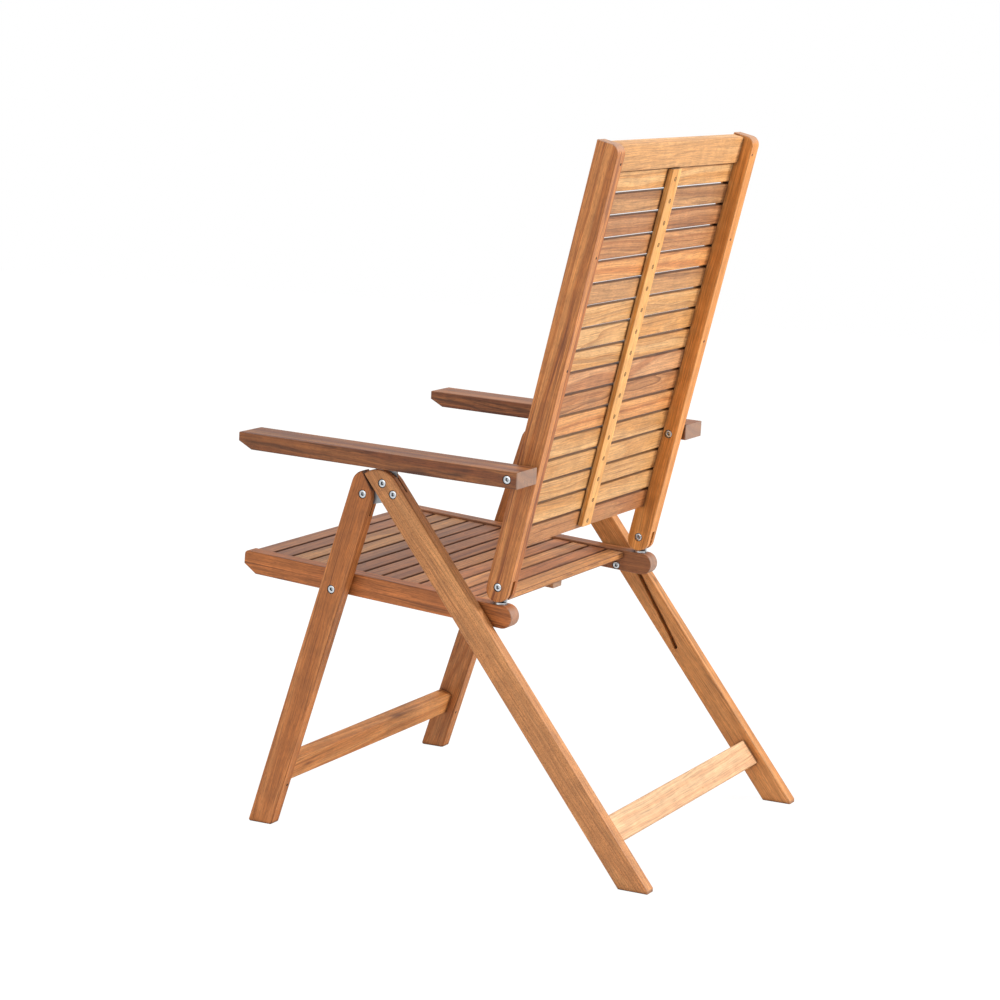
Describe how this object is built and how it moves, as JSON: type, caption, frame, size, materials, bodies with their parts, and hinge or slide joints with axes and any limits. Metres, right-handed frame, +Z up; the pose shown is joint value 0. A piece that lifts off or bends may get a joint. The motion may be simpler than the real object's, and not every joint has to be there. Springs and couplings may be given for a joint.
{
  "type": "folding armchair",
  "caption": "High-backed folding teak armchair with a slatted seat and back, crossed legs, and armrests that step over steel tabs to recline the back.",
  "frame": {"origin": "middle of the footprint's bounding box, on the floor", "axes": "+X towards the sitter's left, +Y towards the chair's rear, +Z up"},
  "size_m": [0.646, 0.7193, 1.0794],
  "materials": {
    "teak_legs": "oiled teak, satin",
    "teak_stretchers": "oiled teak, satin",
    "teak_seat_rails": "oiled teak, satin",
    "teak_stiles": "oiled teak, satin",
    "teak_back_slats": "oiled teak, satin",
    "teak_seat_slats": "oiled teak, satin",
    "teak_top_rail": "oiled teak, satin",
    "teak_strips": "oiled teak, satin",
    "teak_armrests": "oiled teak, satin",
    "screws": "zinc plated, matt",
    "plated_bolts": "zinc plated, bright",
    "plated_steel": "zinc plated, satin"
  },
  "bodies": {
    "rear_frame": {"leg_plate_bolts": "plated_bolts", "leg_plate_left": "plated_steel", "leg_plate_right": "plated_steel", "rear_leg_left": "teak_legs", "rear_leg_right": "teak_legs", "rear_stretcher": "teak_stretchers"},
    "front_frame": {"front_leg_left": "teak_legs", "front_leg_right": "teak_legs", "front_stretcher": "teak_stretchers", "seat_pivot_bolts": "plated_bolts"},
    "seat": {"back_hinge_left": "plated_steel", "back_hinge_right": "plated_steel", "guide_plate_bolts": "plated_bolts", "seat_centre_strip": "teak_strips", "seat_guide_plates": "plated_steel", "seat_rail_left": "teak_seat_rails", "seat_rail_right": "teak_seat_rails", "seat_slat_01": "teak_seat_slats", "seat_slat_02": "teak_seat_slats", "seat_slat_03": "teak_seat_slats", "seat_slat_04": "teak_seat_slats", "seat_slat_05": "teak_seat_slats", "seat_slat_06": "teak_seat_slats", "seat_slat_07": "teak_seat_slats", "seat_slat_08": "teak_seat_slats", "seat_slat_09": "teak_seat_slats", "seat_slat_10": "teak_seat_slats", "seat_slat_11": "teak_seat_slats", "seat_slat_12": "teak_seat_slats", "seat_slat_13": "teak_seat_slats", "seat_strip_screws": "screws"},
    "back_pins": {"back_hinge_bolts": "plated_bolts"},
    "back": {"back_centre_strip": "teak_strips", "back_slat_01": "teak_back_slats", "back_slat_02": "teak_back_slats", "back_slat_03": "teak_back_slats", "back_slat_04": "teak_back_slats", "back_slat_05": "teak_back_slats", "back_slat_06": "teak_back_slats", "back_slat_07": "teak_back_slats", "back_slat_08": "teak_back_slats", "back_slat_09": "teak_back_slats", "back_slat_10": "teak_back_slats", "back_slat_11": "teak_back_slats", "back_slat_12": "teak_back_slats", "back_slat_13": "teak_back_slats", "back_slat_14": "teak_back_slats", "back_slat_15": "teak_back_slats", "back_slat_16": "teak_back_slats", "back_slat_17": "teak_back_slats", "back_stile_left": "teak_stiles", "back_stile_right": "teak_stiles", "back_strip_screws": "screws", "back_top_rail": "teak_top_rail"},
    "arm_pin_left": {"armrest_bolt_left": "plated_bolts"},
    "arm_pin_right": {"armrest_bolt_right": "plated_bolts"},
    "armrest_left": {"armrest_left": "teak_armrests", "armrest_rack_left": "plated_steel"},
    "armrest_right": {"armrest_rack_right": "plated_steel", "armrest_right": "teak_armrests"}
  },
  "joints": [
    {"name": "fold", "type": "hinge", "parent": "rear_frame", "child": "front_frame", "pos_m": [0, -0.12943, 0.53969], "axis": [1, 0, 0], "range_deg": [0, 54]},
    {"name": "seat_pivot", "type": "hinge", "parent": "front_frame", "child": "seat", "pos_m": [0, -0.18291, 0.38759], "axis": [1, 0, 0], "range_deg": [-91.9, 0]},
    {"name": "back_fold", "type": "hinge", "parent": "seat", "child": "back_pins", "pos_m": [0, 0.08912, 0.41778], "axis": [1, 0, 0], "range_deg": [0, 89.25]},
    {"name": "recline", "type": "hinge", "parent": "back_pins", "child": "back", "pos_m": [0, 0.08912, 0.41778], "axis": [-1, 0, 0], "range_deg": [0, 30]},
    {"name": "arm_fold_left", "type": "hinge", "parent": "back", "child": "arm_pin_left", "pos_m": [0, 0.13695, 0.5928], "axis": [1, 0, 0], "range_deg": [-102.7, 0]},
    {"name": "arm_fold_right", "type": "hinge", "parent": "back", "child": "arm_pin_right", "pos_m": [0, 0.13695, 0.5928], "axis": [1, 0, 0], "range_deg": [-102.7, 0]},
    {"name": "armrest_left_pivot", "type": "hinge", "parent": "arm_pin_left", "child": "armrest_left", "pos_m": [0, 0.13695, 0.5928], "axis": [-1, 0, 0], "range_deg": [-21.49, 0]},
    {"name": "armrest_right_pivot", "type": "hinge", "parent": "arm_pin_right", "child": "armrest_right", "pos_m": [0, 0.13695, 0.5928], "axis": [-1, 0, 0], "range_deg": [-21.49, 0]}
  ],
  "couplings": [
    {"joint": "seat_pivot", "follows": "fold", "ratio": -1.7},
    {"joint": "back_fold", "follows": "fold", "ratio": 1.651},
    {"joint": "arm_fold_left", "follows": "fold", "ratio": -1.9},
    {"joint": "arm_fold_right", "follows": "fold", "ratio": -1.9},
    {"joint": "armrest_left_pivot", "follows": "recline", "ratio": -0.713},
    {"joint": "armrest_right_pivot", "follows": "recline", "ratio": -0.713}
  ]
}
